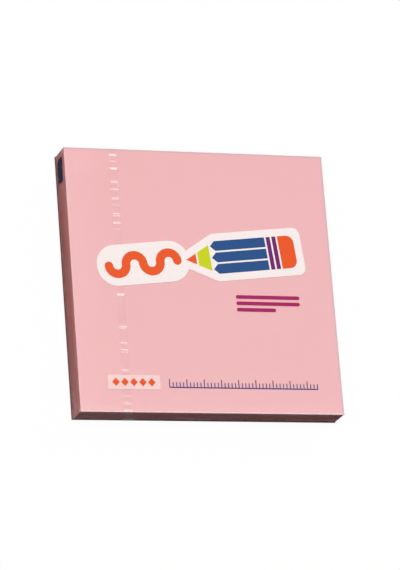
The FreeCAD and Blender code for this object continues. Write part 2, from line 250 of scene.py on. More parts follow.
def seen_directly(start):
    """1 for what the camera sees, by itself, in a reflection or through glass, and 0 for other light."""
    camera_ray = start.node("ShaderNodeLightPath", output="Is Camera Ray")
    mirror_ray = start.node("ShaderNodeLightPath", output="Is Glossy Ray")
    glass_ray = start.node("ShaderNodeLightPath", output="Is Transmission Ray")
    return start.sign("MAXIMUM", start.sign("MAXIMUM", camera_ray, mirror_ray), glass_ray)


world = bpy.data.worlds.new("studio")
bpy.context.scene.world = world
world.use_nodes = True
world.node_tree.nodes.clear()
air = Wire(world.node_tree)
air_colour = blend_colours(air, seen_directly(air), WORLD_LIGHT, (1, 1, 1, 1))
backdrop = air.node("ShaderNodeBackground", inputs={"Color": air_colour, "Strength": 1.0})
air.node("ShaderNodeOutputWorld", inputs={"Surface": backdrop})

floor_mesh = bpy.data.meshes.new("floor")
reach = FLOOR_WIDTH / 2
floor_corners = [(-reach, -reach, 0), (reach, -reach, 0), (reach, reach, 0), (-reach, reach, 0)]
floor_mesh.from_pydata(floor_corners, [], [(0, 1, 2, 3)])
floor = bpy.data.objects.new("floor", floor_mesh)
bpy.context.scene.collection.objects.link(floor)

floor_paint, paint = new_material("floor_paint")
spot = paint.node("ShaderNodeSeparateXYZ", inputs={0: place_on_pad(paint)})
spot_y = Wire(paint.tree, spot.socket.node.outputs["Y"])
foot_x, foot_y = cad_high.x + SHADE_REACH_X, -cad_low.y + SHADE_REACH_Y
under_pad = (abs(spot) < foot_x) * (abs(spot_y) < foot_y)
plain = paint.node("ShaderNodeBsdfDiffuse", inputs={"Color": (0.97, 0.97, 0.97, 1)})
# Painted shadow: the floor under the pad, and a hair past its ends, is dark.
dark = paint.node("ShaderNodeBsdfDiffuse", inputs={"Color": PAINTED_SHADOW_UNDER_PAD})
dim = paint.node("ShaderNodeBsdfDiffuse", inputs={"Color": FLOOR_SENDS_ON})
glow = paint.node("ShaderNodeEmission", inputs={"Color": (1, 1, 1, 1), "Strength": 1.0})
shown = paint.node("ShaderNodeMixShader", inputs={0: FLOOR_OWN_LIGHT, 1: plain, 2: glow})
lit = paint.node("ShaderNodeMixShader", inputs={0: under_pad, 1: shown, 2: dark})
finish_surface(paint, paint.node("ShaderNodeMixShader", inputs={0: seen_directly(paint), 1: dim, 2: lit}))
floor_mesh.materials.append(floor_paint)
print("The floor is", FLOOR_WIDTH, "m wide")

# %% [markdown]
# ## Paper
#
# Notes are made of plain dyed paper. Its face is soft and even, with a faint cloudiness of fibres. The
# cut edges look deeper in colour, because light goes into the stack between the sheets and comes out
# redder. Each sheet takes the dye a little differently, and the knife leaves fine upright marks. The
# cut edges carry painted light, so that they are lightest under the face, and painted shade, so that
# the lowest sheets go dark as if in the shade of the table. Painted shade also makes the face a little
# greyer along its far and right edges.

# %% Mix the note paper
SHEET_COUNT = 100
FACE_PINK = swatch(244, 192, 195)
FACE_DEEP = swatch(238, 183, 186)
PAINTED_RIM_SHADE = swatch(222, 182, 187)
EDGE_PINK = swatch(255, 171, 172)
EDGE_DEEP = swatch(186, 97, 99)
PAINTED_FOOT_SHADE = swatch(104, 40, 46)
FOOT_HEIGHT = 1.35 * MM
RIM = 0.55 * MM
note_low, note_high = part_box("note_block")
SHEET_PITCH = (note_high.z - note_low.z) / SHEET_COUNT
# What broad bands, single sheets, knife marks and the height add to the tone of a cut edge, from deep
# to pink, and what is taken off their sum. The height's share is painted light, lighter towards the face.
BAND_SHARE, SHEET_SHARE, KNIFE_SHARE, PAINTED_HEIGHT_LIGHT, TONE_OFFSET = 0.95, 0.30, 0.16, 0.78, 0.59


def paper_fibres(start):
    """Cloudy fibres at two sizes, from 0 to 1."""
    return 0.6 * stretched_noise(start, 900.0, detail=4.0) + 0.4 * stretched_noise(start, 3200.0)


note_paper, pulp = new_material("note_paper")
way = pulp.node("ShaderNodeNewGeometry", output="Normal")
way_up = Wire(pulp.tree, pulp.node("ShaderNodeSeparateXYZ", inputs={0: way}).socket.node.outputs["Z"])
on_edge = 1 - (abs(way_up) > 0.7)
across = pulp.node("ShaderNodeSeparateXYZ", inputs={0: place_on_pad(pulp)})
along = Wire(pulp.tree, across.socket.node.outputs["Y"])
height = Wire(pulp.tree, across.socket.node.outputs["Z"])
sheet_number = pulp.sign("FLOOR", (height - note_low.z) / SHEET_PITCH)
up_share = (height - note_low.z) / (note_high.z - note_low.z)
dye = pulp.node("ShaderNodeTexWhiteNoise", {"noise_dimensions": "1D"}, {"W": sheet_number})
knife_marks = stretched_noise(pulp, 2600.0, (1, 1, 0.06), detail=3.0)
bands = stretched_noise(pulp, 1500.0, (0.03, 0.03, 1.0), detail=4.0)
edge_tone_and_height_light = BAND_SHARE * bands + SHEET_SHARE * dye + KNIFE_SHARE * knife_marks
# Painted light: the cut edges get lighter towards the face.
edge_tone_and_height_light = edge_tone_and_height_light + PAINTED_HEIGHT_LIGHT * up_share - TONE_OFFSET
edge_with_height_light = blend_colours(pulp, edge_tone_and_height_light, EDGE_DEEP, EDGE_PINK)
# Painted shade: the lowest sheets darken towards the foot.
edge_with_foot_shade = blend_colours(pulp, (height - note_low.z) / FOOT_HEIGHT, PAINTED_FOOT_SHADE, edge_with_height_light)
# Painted shade: the face turns a little greyer near its far and right edges.
past_far = (along - (note_high.y - RIM)) / (0.4 * RIM)
past_right = (across - (note_high.x - RIM)) / (0.4 * RIM)
rim = pulp.node("ShaderNodeMath", {"operation": "MAXIMUM", "use_clamp": True}, {0: past_far, 1: past_right})
face_plain = blend_colours(pulp, paper_fibres(pulp), FACE_DEEP, FACE_PINK)
face_with_rim_shade = blend_colours(pulp, rim, face_plain, PAINTED_RIM_SHADE)
paper_colour = blend_colours(pulp, on_edge, face_with_rim_shade, edge_with_foot_shade)
relief = paper_fibres(pulp) + on_edge * knife_marks
finish_surface(pulp, pulp.node("ShaderNodeBsdfPrincipled", inputs={
    "Base Color": paper_colour,
    "Roughness": 0.78 + 0.16 * paper_fibres(pulp),
    "Specular IOR Level": 0.06,
    "Normal": bumped(pulp, relief, 0.012 * MM),
}))
print("Paper mixed for sheets", round(SHEET_PITCH / MM, 3), "mm thick")

# %% [markdown]
# The sheet under the last note is a white release paper. It is smoother than the notes, with a thin
# silicone coat that takes a soft shine.

# %% Mix the backing paper
backing_paper, pulp = new_material("backing_paper")
coat = stretched_noise(pulp, 700.0, (1, 0.3, 1), detail=3.0)
finish_surface(pulp, pulp.node("ShaderNodeBsdfPrincipled", inputs={
    "Base Color": blend_colours(pulp, coat, swatch(228, 222, 214), swatch(240, 236, 230)),
    "Roughness": 0.45 + 0.2 * coat,
    "Normal": bumped(pulp, paper_fibres(pulp), 0.006 * MM),
}))
print("Backing paper mixed")

# %% [markdown]
# ## The stack of notes
#
# A block with straight sides would look like plastic. A real pad is a hundred sheets that slipped by a
# few hundredths of a millimetre when they were glued and cut. Geometry Nodes repeat one thin sheet up
# a line, move each by a slow wave and a small slip of its own, and turn it by a hair. The gaps between
# the sheets are real gaps, so the shade between them comes from the shape.

# %% A helper that starts a Geometry Nodes tree
SOCKET_KINDS = {float: "NodeSocketFloat", int: "NodeSocketInt", bpy.types.Material: "NodeSocketMaterial"}


def new_geometry_tree(name, values):
    """A tree with one named input for each value. Returns the tree, its start and wires to the inputs."""
    tree = bpy.data.node_groups.new(name, "GeometryNodeTree")
    tree.interface.new_socket("Geometry", in_out="OUTPUT", socket_type="NodeSocketGeometry")
    for label, value in values.items():
        tree.interface.new_socket(label, in_out="INPUT", socket_type=SOCKET_KINDS[type(value)])
    group_in = tree.nodes.new("NodeGroupInput")
    return tree, Wire(tree), {label: Wire(tree, group_in.outputs[label]) for label in values}


def run_geometry_tree(name, tree, values, material):
    """Runs the tree on a new object, with its inputs set, and keeps the result as a plain mesh."""
    carrier = bpy.data.objects.new(name + "_carrier", bpy.data.meshes.new(name + "_start"))
    bpy.context.scene.collection.objects.link(carrier)
    modifier = carrier.modifiers.new("build", "NODES")
    modifier.node_group = tree
    for item in tree.interface.items_tree:
        if item.in_out == "INPUT":
            modifier[item.identifier] = values[item.name]
    graph = bpy.context.evaluated_depsgraph_get()
    plain_mesh = bpy.data.meshes.new_from_object(carrier.evaluated_get(graph), depsgraph=graph)
    plain_mesh.name = name
    bpy.data.objects.remove(carrier)
    piece = bpy.data.objects.new(name, plain_mesh)
    bpy.context.scene.collection.objects.link(piece)
    if not plain_mesh.materials:
        plain_mesh.materials.append(material)
    print(name, "has", len(plain_mesh.polygons), "faces")
    return piece


# %% Stack the notes
SHEET_GAP = 0.006 * MM
SLIP = 0.022 * MM
SWAY = 0.020 * MM
TWIST = 0.0003
WAVE_PACE = 0.11
sheet_width = (note_high.x - note_low.x) - SLIP
sheet_depth = (note_high.y - note_low.y) - SLIP

stack_values = {
    "Sheet Width": sheet_width,
    "Sheet Depth": sheet_depth,
    "Sheet Thickness": SHEET_PITCH - SHEET_GAP,
    "Sheet Count": SHEET_COUNT,
    "Pitch": SHEET_PITCH,
    "First Height": note_low.z + SHEET_PITCH / 2,
    "Slip": SLIP,
    "Sway": SWAY,
    "Twist": TWIST,
    "Seed": 4,
    "Paper": note_paper,
}
tree, stack, given = new_geometry_tree("stack_of_notes", stack_values)
sheet_size = stack.node("ShaderNodeCombineXYZ", inputs={
    "X": given["Sheet Width"], "Y": given["Sheet Depth"], "Z": given["Sheet Thickness"]})
one_sheet = stack.node("GeometryNodeMeshCube", inputs={"Size": sheet_size})
first_place = stack.node("ShaderNodeCombineXYZ", inputs={"Z": given["First Height"]})
step_up = stack.node("ShaderNodeCombineXYZ", inputs={"Z": given["Pitch"]})
line = stack.node("GeometryNodeMeshLine", inputs={
    "Count": given["Sheet Count"], "Start Location": first_place, "Offset": step_up})
number = stack.node("GeometryNodeInputIndex")
wave = stack.node("ShaderNodeTexNoise", {"noise_dimensions": "1D"}, {
    "W": number * WAVE_PACE, "Detail": 1.0}, output="Color")
wave_centred = stack.node("ShaderNodeVectorMath", {"operation": "SUBTRACT"}, {0: wave, 1: (0.5, 0.5, 0.5)})
swayed = stack.node("ShaderNodeVectorMath", {"operation": "SCALE"},
                    {0: wave_centred, "Scale": 2 * given["Sway"]})
slip_low = stack.node("ShaderNodeCombineXYZ", inputs={"X": 0 - given["Slip"], "Y": 0 - given["Slip"]})
slip_high = stack.node("ShaderNodeCombineXYZ", inputs={"X": given["Slip"], "Y": given["Slip"]})
slipped = stack.node("FunctionNodeRandomValue", {"data_type": "FLOAT_VECTOR"}, {
    0: slip_low, 1: slip_high, "ID": number, "Seed": given["Seed"]})
shift = stack.node("ShaderNodeVectorMath", {"operation": "ADD"}, {0: swayed, 1: slipped})
flat_shift = stack.node("ShaderNodeVectorMath", {"operation": "MULTIPLY"}, {0: shift, 1: (1, 1, 0)})
moved = stack.node("GeometryNodeSetPosition", inputs={"Geometry": line, "Offset": flat_shift})
turned = stack.node("FunctionNodeRandomValue", {"data_type": "FLOAT"}, {
    2: 0 - given["Twist"], 3: given["Twist"], "ID": number, "Seed": given["Seed"] + 1}, output=1)
turned_all = stack.node("ShaderNodeCombineXYZ", inputs={"Z": turned})
sheets = stack.node("GeometryNodeInstanceOnPoints", inputs={
    "Points": moved, "Instance": one_sheet, "Rotation": turned_all})
real_sheets = stack.node("GeometryNodeRealizeInstances", inputs={0: sheets})
dressed = stack.node("GeometryNodeSetMaterial", inputs={
    "Geometry": real_sheets, "Material": given["Paper"]})
stack.node("NodeGroupOutput", inputs={"Geometry": dressed})

note_stack = run_geometry_tree("note_stack", tree, stack_values, note_paper)
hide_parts("note_block")
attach(note_stack, "root")
print(SHEET_COUNT, "notes, each", round(sheet_width / MM, 2), "mm wide")

# %% Dress the backing sheet
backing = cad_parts["backing_sheet"]
backing.data.materials.clear()
backing.data.materials.append(backing_paper)
print("The backing sheet keeps its CAD shape")

# %% [markdown]
# ## Clear plastic
#
# Clear film shows itself in two ways: it mirrors the room, most of all at a flat angle and on creases,
# and it turns milky where it is stretched, sealed or folded over itself. The shader mixes a see-through
# part with one plastic whose share grows with both. Two attributes on the mesh, shine and haze, say how
# much of each there is: 0 is none, and 1 would be a full mirror or white plastic. The cells that shape
# the tape and the film write them. Along the near and left edges of the face the haze is a painted
# highlight, and on the tape's puckers it is partly one.

# %% Mix a clear plastic
FLAT_ANGLE_GAIN = 12.0
FLAT_ANGLE_POWER = 6.0
MILKY_PLASTIC = (0.90, 0.92, 0.92, 1)
MOST_MIRROR = 0.6
MOST_HAZE = 0.95


def clear_plastic(name, tint, roughness, ripple_scale, ripple_depth):
    """Film that mirrors by its shine and is milky by its haze."""
    made, melt = new_material(name)
    haze = melt.node("ShaderNodeAttribute", {"attribute_name": "haze"}, output="Fac")
    shine = melt.node("ShaderNodeAttribute", {"attribute_name": "shine"}, output="Fac")
    ripples = stretched_noise(melt, ripple_scale, detail=2.0)
    normals = bumped(melt, ripples, ripple_depth)
    facing = melt.node("ShaderNodeLayerWeight", inputs={"Blend": 0.5}, output="Facing")
    flat_angle = melt.sign("POWER", facing, FLAT_ANGLE_POWER)
    mirror = melt.sign("MINIMUM", shine * (1 + FLAT_ANGLE_GAIN * flat_angle), MOST_MIRROR)
    cloudy = melt.sign("MINIMUM", haze * (0.92 + 0.16 * ripples), MOST_HAZE)
    share = 1 - (1 - cloudy) * (1 - mirror)
    body = melt.node("ShaderNodeBsdfPrincipled", inputs={
        "Base Color": MILKY_PLASTIC,
        "Metallic": mirror / share,
        "Roughness": roughness,
        "Normal": normals,
    })
    through = melt.node("ShaderNodeBsdfTransparent", inputs={"Color": tint})
    finish_surface(melt, melt.node("ShaderNodeMixShader", inputs={0: share, 1: through, 2: body}))
    return made


clear_film = clear_plastic("clear_film", (0.995, 0.99, 0.99, 1), 0.10, 600.0, 0.010 * MM)
tape_film = clear_plastic("tape_film", (0.99, 0.982, 0.985, 1), 0.14, 1500.0, 0.003 * MM)
print("Clear film and tape film mixed")

# %% [markdown]
# ## Where the tape puckers
#
# The tear tape is a narrow strip inside the film. The film shrinks a little more than the tape, so the
# strip gathers into short cross puckers that catch the light. Each pucker is also milky, partly from the
# stretched tape and partly as a painted highlight. One list holds them, and both the tape and the film
# over it read that list, so their ridges lie in each other.

# %% List the puckers
tape_low, tape_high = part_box("tear_tape")
film_low, film_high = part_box("film_wrap")
TAPE_WIDTH = 2.35 * MM
tape_slant = (tape_high.x - tape_low.x - TAPE_WIDTH) / (tape_high.y - tape_low.y)
tape_middle = (tape_low.x + tape_high.x) / 2

# Each pucker is its place along the pad and its half length, in mm, and how strongly it stands out.
PUCKERS = [
    (36.25, 0.26, 0.80), (34.35, 0.24, 0.21), (32.2, 0.28, 0.76), (28.35, 0.24, 0.46), (26.1, 0.24, 0.34),
    (23.45, 0.40, 0.25), (21.4, 0.22, 0.16), (19.0, 0.17, 0.46), (18.35, 0.16, 0.36), (16.25, 0.26, 0.50),
    (14.4, 0.20, 0.14), (-4.55, 0.34, 0.52), (-13.75, 0.20, 0.54), (-14.35, 0.14, 0.36),
    (-18.45, 0.26, 0.38), (-20.35, 0.18, 0.48), (-21.1, 0.16, 0.36), (-26.2, 0.34, 0.26),
    (-33.4, 0.24, 0.15), (-35.6, 0.28, 0.28), (-37.6, 0.26, 0.45),
]
PUCKER_SLANT = -0.035
PUCKER_RISE = 0.028 * MM


def tape_centre(y):
    """How far right the middle of the tape lies, at each place along the pad."""
    return tape_middle + tape_slant * y


def pucker_field(x, y):
    """How far each point rises, and how milky it is, from the puckers near it. The milkiness is partly a
    painted highlight.
    """
    across = (x - tape_centre(y)) / (TAPE_WIDTH / 2)
    edge = np.clip(1.0 - np.abs(across * 1.03) ** 6, 0, 1)
    rise = np.zeros_like(x)
    milky = np.zeros_like(x)
    for place, half, strength in PUCKERS:
        bow = place * MM + PUCKER_SLANT * across * TAPE_WIDTH / 2
        along = (y - bow) / (half * MM)
        rise = rise + strength * np.exp(-1.4 * along ** 2)
        # The milkiness of each pucker is partly a painted highlight.
        milky = milky + strength * np.exp(-0.8 * along ** 4)
    return PUCKER_RISE * np.clip(rise, 0, 1) * edge, np.clip(milky, 0, 1) * edge


print(len(PUCKERS), "puckers along a tape", round(TAPE_WIDTH / MM, 2), "mm wide")

# %% [markdown]
# ## The tear tape
#
# The tape runs once round the pad just inside the film. It is built as rows of points along that loop
# and across the strip, with eight rows to a millimetre on the face, where the puckers are, and closed
# into a thin band.

# %% A helper that makes a mesh from arrays
def mesh_piece(name, points, faces, material, **point_values):
    """A piece from points and faces. Each further value is kept on its points, by its name."""
    made = bpy.data.meshes.new(name)
    made.from_pydata([tuple(p) for p in points], [], [tuple(f) for f in faces])
    made.update()
    for label, values in point_values.items():
        attribute = made.attributes.new(label, "FLOAT", "POINT")
        attribute.data.foreach_set("value", np.asarray(values, dtype=np.float32))
    made.materials.append(material)
    made.shade_smooth()
    piece = bpy.data.objects.new(name, made)
    bpy.context.scene.collection.objects.link(piece)
    print(name, "has", len(made.polygons), "faces")
    return piece


# %% Lay the tear tape
TAPE_THICKNESS = 0.04 * MM
TAPE_BEND = 0.10 * MM
FACE_STEP = 0.12 * MM
BACK_STEP = 2.0 * MM
ACROSS = 10
SIDE_ROWS = 12
BEND_STEP = 15
TAPE_LIFT, TAPE_HAZE, PUCKER_HAZE_AND_HIGHLIGHT = 0.9, 0.01, 0.62
TAPE_SHINE, TAPE_FACE_SHINE = 0.0005, 0.004


def tape_loop():
    """Points of the loop round the pad as (y, z, outward y, outward z), starting on the face."""
    low_y, high_y = tape_low.y + TAPE_BEND, tape_high.y - TAPE_BEND
    low_z, high_z = tape_low.z + TAPE_BEND, tape_high.z - TAPE_BEND
    rows = []
    for y in np.linspace(low_y, high_y, round((high_y - low_y) / FACE_STEP)):
        rows.append((y, high_z, 0.0, 1.0))
    corners = [(high_y, high_z, 90), (high_y, low_z, 0), (low_y, low_z, -90), (low_y, high_z, -180)]
    for number, (corner_y, corner_z, start_angle) in enumerate(corners):
        for step in range(1, 90 // BEND_STEP):
            angle = math.radians(start_angle - BEND_STEP * step)
            rows.append((corner_y, corner_z, math.cos(angle), math.sin(angle)))
        if number == 1:
            for y in np.arange(high_y, low_y, -BACK_STEP):
                rows.append((y, low_z, 0.0, -1.0))
        elif number in (0, 2):
            side_y, side_way, first_z, last_z = high_y, 1.0, high_z, low_z
            if number == 2:
                side_y, side_way, first_z, last_z = low_y, -1.0, low_z, high_z
            for z in np.linspace(first_z, last_z, SIDE_ROWS):
                rows.append((side_y, z, side_way, 0.0))
    return np.array(rows)


def make_tape():
    """Points, faces, haze and shine of the tape: an outer and an inner layer, with rims between."""
    rows = tape_loop()
    count = len(rows)
    across = np.linspace(-1, 1, ACROSS + 1) * TAPE_WIDTH / 2
    points, haze, shine = [], [], []
    for layer in (0, 1):
        depth = TAPE_BEND - layer * TAPE_THICKNESS
        for y0, z0, out_y, out_z in rows:
            y = y0 + out_y * depth
            z = z0 + out_z * depth
            x = tape_centre(y) + across
            rise, milky = pucker_field(x, np.full_like(x, y))
            on_face = max(out_z, 0.0) ** 8
            for i in range(len(across)):
                lift = rise[i] * on_face * (1 - layer) * TAPE_LIFT
                points.append((x[i], y, z + lift))
                haze.append(TAPE_HAZE + PUCKER_HAZE_AND_HIGHLIGHT * milky[i] * on_face)
                shine.append(TAPE_SHINE + TAPE_FACE_SHINE * on_face)
    width = ACROSS + 1
    layer_size = count * width
    faces = []
    for row in range(count):
        next_row = (row + 1) % count
        for i in range(ACROSS):
            a, b = row * width + i, row * width + i + 1
            c, d = next_row * width + i + 1, next_row * width + i
            faces.append((a, b, c, d))
            faces.append((layer_size + a, layer_size + d, layer_size + c, layer_size + b))
        for i in (0, ACROSS):
            a, d = row * width + i, next_row * width + i
            rim = (a, d, layer_size + d, layer_size + a)
            faces.append(rim if i == 0 else rim[::-1])
    return points, faces, haze, shine


tape_points, tape_faces, tape_haze, tape_shine = make_tape()
tear_strip = mesh_piece("tear_strip", tape_points, tape_faces, tape_film, haze=tape_haze, shine=tape_shine)
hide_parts("tear_tape")
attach(tear_strip, "root")
tear_strip.visible_shadow = False

# %% [markdown]
# ## The film
#
# The film is one closed skin with rounded bends. It starts as a grid of lines on a box, close together
# at the bends, at the ends and over the tape. Each crossing on the outside of the grid becomes a point
# and is moved outwards from a smaller core box, which rounds every edge and corner. After that the
# folds, the lap seam and the crumples only move points along their own normals. The two ends start two
# films further in than the CAD box, which leaves room for the flaps.

# %% Choose the grid lines
FILM = 0.04 * MM
BEND_RADIUS = 0.14 * MM
HEIGHT = film_high.z
FLAP_REACH = 6.2 * MM
LAP_LOW, LAP_SEAL, LAP_HIGH = 1.7 * MM, 2.9 * MM, 7.7 * MM
film_middle = Vector((0, 0, film_high.z / 2))
film_half = Vector((film_high.x - 2 * FILM, film_high.y, film_high.z / 2))


def grid_lines(half, inner):
    """Lines from -half to half: both bends, a line that holds each flat, and the inner ones."""
    core = half - BEND_RADIUS
    bend = [core + BEND_RADIUS * math.tan(math.radians(angle)) for angle in (0, 15, 30, 45)]
    hold = core - 0.05 * MM
    kept = [value for value in inner if abs(value) < hold - 0.05 * MM]
    return np.array(sorted([-value for value in bend] + [-hold] + kept + [hold] + bend))


def spaced(start, stop, step):
    """Even lines from start to stop, about one step apart."""
    return list(np.linspace(start, stop, max(2, round(abs(stop - start) / step) + 1)))


FLAT_END, FLAT_TOP = 38.0 * MM, 3.8 * MM
END_ZONE = 7.0 * MM
TAPE_START, TAPE_STOP = -26.2 * MM, -22.0 * MM
END_STEP, OPEN_STEP, TAPE_STEP = 0.5 * MM, 1.2 * MM, 0.3 * MM
STEP_Y, STEP_Z = 0.42 * MM, 0.33 * MM
SEAM_STEP, SEAM_CLEAR = 0.12 * MM, 0.17 * MM

lines_x = sorted(set(
    spaced(-FLAT_END, -FLAT_END + END_ZONE, END_STEP)
    + spaced(-FLAT_END + END_ZONE, TAPE_START, OPEN_STEP)[1:]
    + spaced(TAPE_START, TAPE_STOP, TAPE_STEP)[1:]
    + spaced(TAPE_STOP, FLAT_END - END_ZONE, OPEN_STEP)[1:]
    + spaced(FLAT_END - END_ZONE, FLAT_END, END_STEP)[1:]
))
lines_y = spaced(-FLAT_END, FLAT_END, STEP_Y)
seam_heights = [height - HEIGHT / 2 for height in (LAP_LOW, LAP_HIGH, FLAP_REACH, HEIGHT - FLAP_REACH)]
lines_z = spaced(-FLAT_TOP, FLAT_TOP, STEP_Z)
lines_z = [z for z in lines_z if min(abs(z - seam) for seam in seam_heights) > SEAM_CLEAR]
lines_z = sorted(lines_z + [seam + shift for seam in seam_heights for shift in (-SEAM_STEP, 0, SEAM_STEP)])
grids = [grid_lines(film_half[axis], lines) for axis, lines in enumerate((lines_x, lines_y, lines_z))]
print("Film grid:", [len(lines) for lines in grids], "lines along X, Y and Z")


# %% Wrap the grid round the box
def rounded_skin(grids, half, radius):
    """Points, outward normals and faces of a closed rounded box, centred on zero."""
    counts = [len(lines) for lines in grids]
    numbers, places = {}, []

    def number_of(i, j, k):
        key = (i, j, k)
        if key not in numbers:
            numbers[key] = len(places)
            places.append((grids[0][i], grids[1][j], grids[2][k]))
        return numbers[key]

    faces = []
    for axis in range(3):
        first, second = (axis + 1) % 3, (axis + 2) % 3
        for end in (0, counts[axis] - 1):
            for a in range(counts[first] - 1):
                for b in range(counts[second] - 1):
                    corners = []
                    for da, db in ((0, 0), (1, 0), (1, 1), (0, 1)):
                        key = [0, 0, 0]
                        key[axis], key[first], key[second] = end, a + da, b + db
                        corners.append(number_of(*key))
                    faces.append(corners if end else corners[::-1])
    places = np.array(places)
    core = np.array(half) - radius
    inner = np.clip(places, -core, core)
    out = places - inner
    out /= np.linalg.norm(out, axis=1)[:, None]
    return inner + radius * out, out, np.array(faces)


skin, outward, skin_faces = rounded_skin(grids, film_half, BEND_RADIUS)
print("The skin has", len(skin), "points and", len(skin_faces), "faces")

# %% [markdown]
# ### Folds at the ends
#
# At each end the film is folded in four: the two side flaps first, then the flap from the back and the
# flap from the face over it, with slanting edges where they were tucked in. Every flap is one more
# thickness of film. Where a fold was pressed it is milky, and near the corners the spare film crumples
# into slanting ridges. The right end was pressed harder than the left, so its folds show more.

# %% Helpers for lines and crumples
def smooth_step(value, start, stop):
    """0 before start, 1 after stop, and a soft slope between."""
    t = np.clip((value - start) / (stop - start), 0, 1)
    return t * t * (3 - 2 * t)


def near_line(distance, width):
    """1 on a line, fading to 0 past its width."""
    return np.exp(-(distance / width) ** 2)


def noise_at(u, v, seed):
    """Soft noise from -1 to 1 at each pair of coordinates."""
    return np.array([noise.noise(Vector((a, b, seed))) for a, b in zip(u, v)])


def ridges_at(u, v, seed):
    """Sharp crests like those of crumpled film, from 0 to 1."""
    return (1 - np.abs(noise_at(u, v, seed))) ** 3


# %% Describe the folds
FOLD_SLOPE, FLAP_SLOPE = 0.10 * MM, 0.06 * MM
MITRE_WIDTH, FLAP_EDGE_WIDTH = 0.20 * MM, 0.12 * MM
TUCK_WIDTH = 4.5 * MM
POST_PLACE, POST_WIDTH = 0.25 * MM, 0.22 * MM
CORNER_REACH = 7.0 * MM
CRUMPLE_LENGTH, CRUMPLE_WIDTH, CRUMPLE_DEPTH = 5.0 * MM, 1.1 * MM, 0.045 * MM
DENT_LENGTH, DENT_HEIGHT, DENT_DEPTH = 6.0 * MM, 2.6 * MM, 0.018 * MM
TOP_SHINE_REACH = 2.2 * MM


def end_folds(y, z, seed, hard):
    """Rise, haze and shine of an end face whose folds were pressed this hard."""
    side = film_half.y - np.abs(y)
    from_top = HEIGHT - z
    top_flap = smooth_step(side - from_top, -FOLD_SLOPE, FOLD_SLOPE)
    top_flap = top_flap * smooth_step(FLAP_REACH - from_top, -FLAP_SLOPE, FLAP_SLOPE)
    back_flap = smooth_step(side - z, -FOLD_SLOPE, FOLD_SLOPE)
    back_flap = back_flap * smooth_step(FLAP_REACH - z, -FLAP_SLOPE, FLAP_SLOPE)
    rise = FILM * (top_flap + back_flap)
    corner = np.exp(-side / CORNER_REACH)
    lean = np.where(y > 0, 1.0, -1.0)
    crumple = ridges_at((y * lean + z) / CRUMPLE_LENGTH, (y * lean - z) / CRUMPLE_WIDTH, seed)
    soft = ridges_at(y / DENT_LENGTH, z / DENT_HEIGHT, seed + 3)
    rise = rise - CRUMPLE_DEPTH * corner * (1 - crumple) - DENT_DEPTH * (1 - soft)
    mitre_top = near_line(side - from_top, MITRE_WIDTH) * (from_top < FLAP_REACH)
    mitre_back = near_line(side - z, MITRE_WIDTH) * (z < FLAP_REACH)
    edge_top = near_line(from_top - FLAP_REACH, FLAP_EDGE_WIDTH) * (side > from_top)
    edge_back = near_line(z - FLAP_REACH, FLAP_EDGE_WIDTH) * (side > z)
    tucked = (1 - top_flap) * (1 - back_flap) * (side < TUCK_WIDTH)
    post = near_line(side - POST_PLACE, POST_WIDTH)
    haze = 0.003 + 0.006 * (top_flap + back_flap) + 0.006 * tucked + 0.10 * post
    haze = haze + hard * (0.10 * mitre_top + 0.06 * mitre_back + 0.05 * edge_top + 0.03 * edge_back)
    pressed = corner * np.where(y < 0, 1.0, 0.4)
    haze = haze + 0.06 * pressed * crumple ** 3 + 0.01 * soft ** 4
    shine = 0.001 + 0.003 * tucked + 0.055 * pressed * crumple ** 3 + 0.001 * soft ** 4
    shine = shine + 0.006 * near_line(from_top, TOP_SHINE_REACH) + 0.010 * hard * soft ** 3 * crumple ** 2
    shine = shine + hard * (0.014 * mitre_top + 0.010 * mitre_back + 0.012 * edge_top + 0.008 * edge_back)
    return rise, haze, shine


# %% [markdown]
# ### The lap seam and the long sides
#
# The two edges of the sheet meet in a lap on the near side, a band one film thicker than the rest. A hot
# bar sealed it along one line, which stayed a little milky. The film is drawn tight from end to end, so
# it bows in a little between its edges and shows long level streaks, with small gathers near the ends
# that are stronger at the left. The streaks show more on the far side. The tape starts as a milky tongue
# that leans over the near side.

# %% Describe the long sides
TONGUE_LEAN = 2.6 * MM
NEAR_STREAKS, FAR_STREAKS = 0.5, 2.0
BOW_DEPTH = 0.02 * MM
STREAK_LENGTH, STREAK_HEIGHT, STREAK_DEPTH = 9.0 * MM, 1.3 * MM, 0.006 * MM
GATHER_REACH, GATHER_DEPTH, RIGHT_GATHER = 3.0 * MM, 0.03 * MM, 0.4
PINCH_LENGTH, PINCH_HEIGHT = 1.6 * MM, 3.0 * MM
LAP_SLOPE, LAP_EDGE_WIDTH, SEAL_WIDTH = 0.05 * MM, 0.10 * MM, 0.40 * MM


